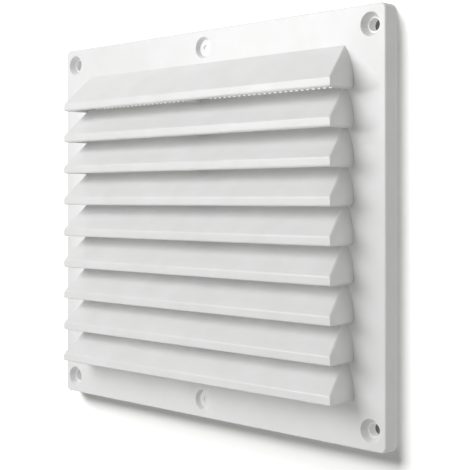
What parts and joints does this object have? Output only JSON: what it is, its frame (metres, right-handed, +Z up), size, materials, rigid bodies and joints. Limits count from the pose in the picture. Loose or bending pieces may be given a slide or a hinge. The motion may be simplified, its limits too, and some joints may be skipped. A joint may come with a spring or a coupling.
{
  "type": "ventilation grille",
  "caption": "Surface-mounted louvred ventilation grille with flared louvre ends, countersunk corner holes and an insect screen staked to its back.",
  "frame": {"origin": "middle of the plate's back rim, on the wall", "axes": "+Z up the plate, +X across it to the right as seen from the front, +Y into the wall"},
  "size_m": [0.19, 0.0198, 0.165],
  "materials": {
    "body_plastic": "smooth moulded white ABS, satin gloss",
    "screen_plastic": "moulded white polypropylene net, matt"
  },
  "bodies": {
    "root": {"grille_body": "body_plastic", "insect_screen": "screen_plastic"}
  },
  "joints": []
}
